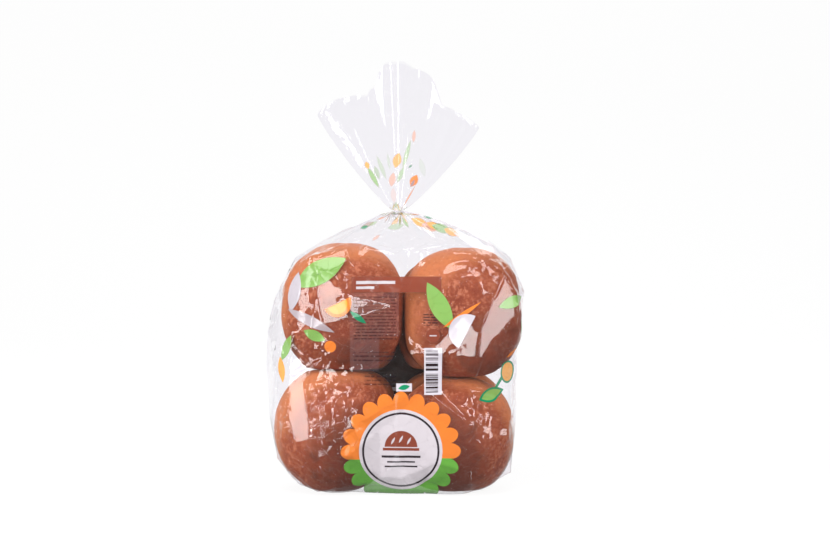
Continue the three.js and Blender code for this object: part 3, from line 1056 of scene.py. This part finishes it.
def tapeMaterial():
    made, graph = newMaterial("neckTape")
    spot = graph.node("ShaderNodeTexCoord", output="Object")
    wrinkle = graph.noise(spot, 900.0, 2.0, 0.5)
    bump = graph.bump(wrinkle, 0.4, 0.0002)
    through = graph.node("ShaderNodeBsdfTransparent", inputs={"Color": (0.9, 0.89, 0.92, 1)})
    inputs = {"Base Color": (0.8, 0.79, 0.84, 1), "Roughness": 0.2 + wrinkle * 0.2, "Normal": bump}
    tape = graph.node("ShaderNodeBsdfPrincipled", inputs=inputs)
    closeMaterial(graph, graph.mixShader(0.35, through, tape))
    return made


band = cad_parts["neck_band"]
band.data.materials.clear()
band.data.materials.append(tapeMaterial())


# stage: a white sweep, lit by soft boxes

stage = {
    "halfWidth": 0.45, "widening": 0.4, "front": -0.8, "back": 1.6, "bend": 1.0, "height": 3.2,
    "white": 1.06,  # glow of the sweep, as it is seen
    "bounce": 0.35,  # glow of its floor at the bag and before it, as light
    "surround": 0.3,  # glow of the world, as light
    "backdrop": 0.93,  # glow of the world, as it is seen
    "aim": (0, 0, 0.12),  # what the soft boxes face
}
# Each soft box's place, its width and height in metres, and its power in watts.
softBoxes = {
    "leftBox": ((-1.3, -0.75, 0.5), (0.36, 1.1), 13.5),
    "frontLeftBox": ((-0.78, -1.4, 0.42), (0.36, 0.8), 10.5),
    "backBox": ((0.3, 1.5, 1.5), (1.4, 0.9), 9),
    "rightBox": ((1.2, -1.0, 0.45), (0.3, 1.1), 10.5),
    "frontBox": ((0.62, -1.5, 0.5), (0.16, 0.9), 5),
    "topBox": ((-0.1, -0.9, 1.35), (0.9, 0.45), 9),
}
photo = {"width": 830, "height": 553, "middleX": 396, "floorY": 490, "millimetres": 0.838}
lens = {"focal": 85.0, "sensor": 36.0, "elevation": 2.5}


def sweep():
    made, graph = newMaterial("paleStage")
    grey = graph.node("ShaderNodeBsdfDiffuse", inputs={"Color": (0.8, 0.8, 0.8, 1)})
    seen = graph.node("ShaderNodeLightPath", output="Is Camera Ray")
    _, depth, _ = graph.parts(graph.node("ShaderNodeTexCoord", output="Object"))
    bounce = graph.mixNumber(graph.rise(depth, 0.1, 0.7), stage["bounce"], stage["white"])
    strength = graph.mixNumber(seen, bounce, stage["white"])
    glow = graph.node("ShaderNodeEmission", inputs={"Color": (1, 1, 1, 1), "Strength": strength})
    closeMaterial(graph, graph.mixShader(0.86, grey, glow))
    line = [(stage["front"], 0.0), (stage["back"], 0.0)]
    for step in range(1, 17):
        turn = math.pi / 2 * step / 16
        line.append((stage["back"] + stage["bend"] * math.sin(turn), stage["bend"] * (1 - math.cos(turn))))
    line.append((stage["back"] + stage["bend"], stage["height"]))
    points = []
    for y, z in line:
        halfWidth = stage["halfWidth"] + stage["widening"] * (y - stage["front"])
        points += [(-halfWidth / mm, y / mm, z / mm), (halfWidth / mm, y / mm, z / mm)]
    faces = [(2 * i, 2 * i + 1, 2 * i + 3, 2 * i + 2) for i in range(len(line) - 1)]
    floor = meshObject("stage_sweep", points, faces, made)


def softBox(name, place, size, power):
    lamp = bpy.data.lights.new(name, "AREA")
    lamp.shape = "RECTANGLE"
    lamp.size, lamp.size_y = size
    lamp.energy = power
    holder = addObject(name, lamp)
    holder.location = place
    holder.rotation_euler = (Vector(stage["aim"]) - Vector(place)).to_track_quat("-Z", "Y").to_euler()


def surroundings():
    world = bpy.data.worlds.new("studio")
    world.use_nodes = True
    world.node_tree.nodes.clear()
    graph = Graph(world.node_tree)
    seen = graph.node("ShaderNodeLightPath", output="Is Camera Ray")
    strength = graph.mixNumber(seen, stage["surround"], stage["backdrop"])
    shade = graph.node("ShaderNodeBackground", inputs={"Color": (1, 1, 1, 1), "Strength": strength})
    graph.node("ShaderNodeOutputWorld", inputs={"Surface": shade})
    bpy.context.scene.world = world


def camera():
    seen = bpy.data.cameras.new("camera")
    seen.lens = lens["focal"]
    seen.sensor_width = lens["sensor"]
    distance = photo["millimetres"] * lens["focal"] / (lens["sensor"] / photo["width"]) * mm
    aimX = (photo["width"] / 2 - photo["middleX"]) * photo["millimetres"] * mm
    aimZ = (photo["floorY"] - photo["height"] / 2) * photo["millimetres"] * mm
    elevation = math.radians(lens["elevation"])
    aim = Vector((aimX, 0.0, aimZ))
    back = Vector((0.0, -math.cos(elevation), math.sin(elevation)))
    holder = addObject("camera", seen)
    holder.location = aim + back * distance
    holder.rotation_euler = (-back).to_track_quat("-Z", "Y").to_euler()
    bpy.context.scene.camera = holder


sweep()
for name, (place, size, power) in softBoxes.items():
    softBox(name, place, size, power)
surroundings()
camera()
bpy.context.scene.view_settings.view_transform = "Standard"
print("stage, lights and camera set")
